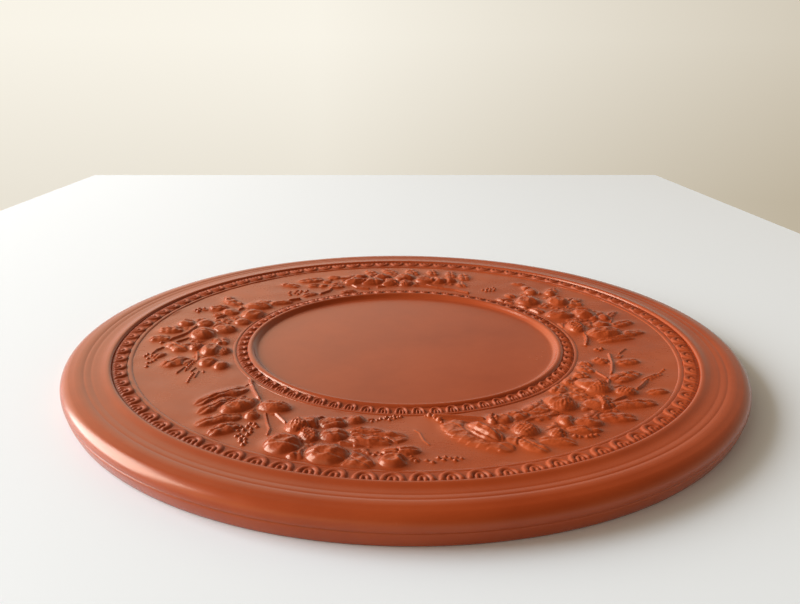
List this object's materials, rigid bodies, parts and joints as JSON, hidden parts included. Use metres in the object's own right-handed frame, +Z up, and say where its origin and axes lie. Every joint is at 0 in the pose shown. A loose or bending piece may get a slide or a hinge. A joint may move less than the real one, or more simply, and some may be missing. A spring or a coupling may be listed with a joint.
{
  "type": "terra sigillata plate",
  "caption": "Round red slip-coated clay plate with a rounded rim, two bands of pressed eggs, and applied sprays of fruit, cones and leaves around a plain middle.",
  "frame": {"origin": "middle of the footprint, on the surface the plate stands on", "axes": "+Z up, square to the plain middle; -Y towards the viewer of the picture, +X to the viewer's right"},
  "size_m": [0.31, 0.31, 0.0136],
  "materials": {
    "slip_clay": "orange-red slip, satin gloss"
  },
  "bodies": {
    "root": {"plate": "slip_clay"}
  },
  "joints": []
}
